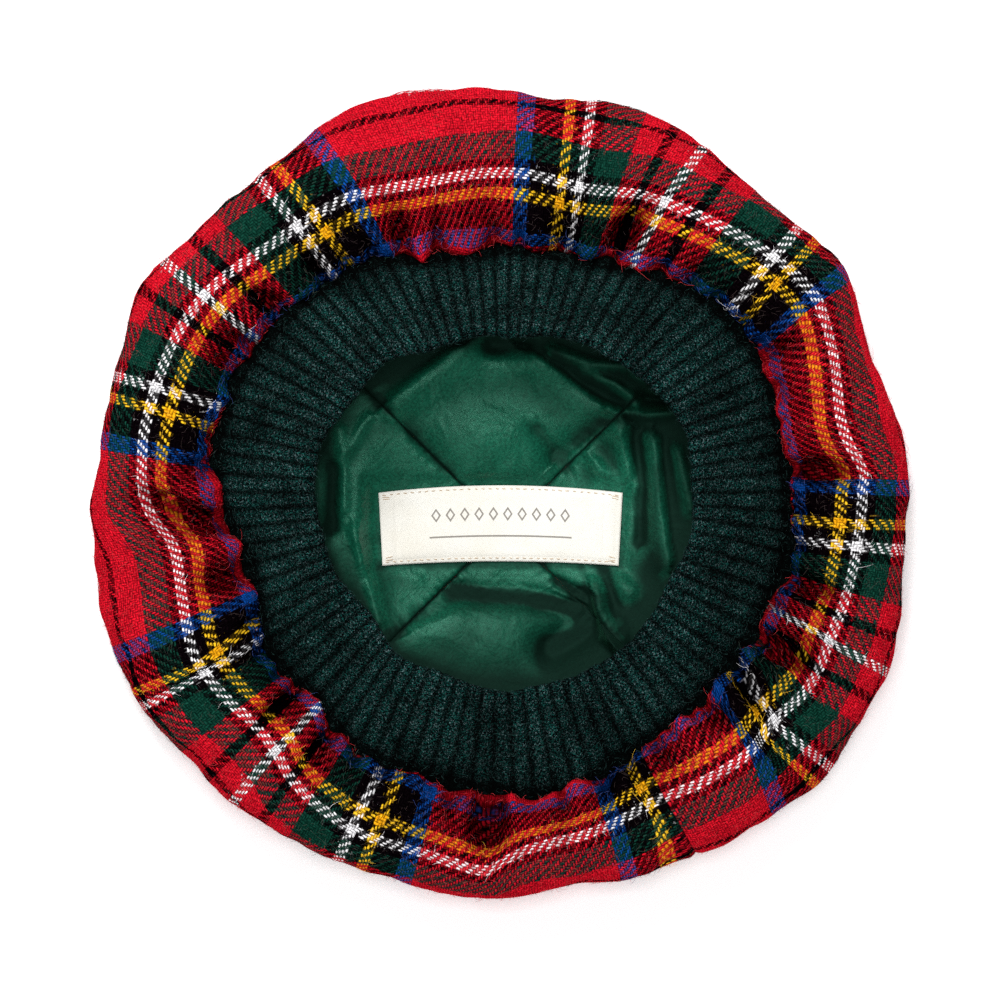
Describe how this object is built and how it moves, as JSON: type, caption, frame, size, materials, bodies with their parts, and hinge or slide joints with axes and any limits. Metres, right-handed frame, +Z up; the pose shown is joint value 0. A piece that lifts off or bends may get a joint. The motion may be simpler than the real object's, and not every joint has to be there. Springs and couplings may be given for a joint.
{
  "type": "tam o shanter",
  "caption": "Round soft tartan wool cap with a gathered crown, a ribbed knit head band and a satin lining, lying crown down with its mouth up.",
  "frame": {"origin": "middle of the hat's box, on the surface that the crown lies on", "axes": "+Z up out of the mouth, +X along the label, +Y across it"},
  "size_m": [0.2814, 0.277, 0.0585],
  "materials": {
    "tartan_cloth": "brushed wool twill woven in a red, green, navy, black, yellow and white tartan",
    "ribbed_knit": "dark green heather wool knitted in ribs",
    "satin_lining": "glossy green satin",
    "woven_label": "matt cream woven ribbon"
  },
  "bodies": {
    "root": {"crown_top": "tartan_cloth", "crown_side": "tartan_cloth", "knit_band": "ribbed_knit", "lining_panel_1": "satin_lining", "lining_panel_2": "satin_lining", "lining_panel_3": "satin_lining", "lining_panel_4": "satin_lining", "label": "woven_label"}
  },
  "joints": []
}
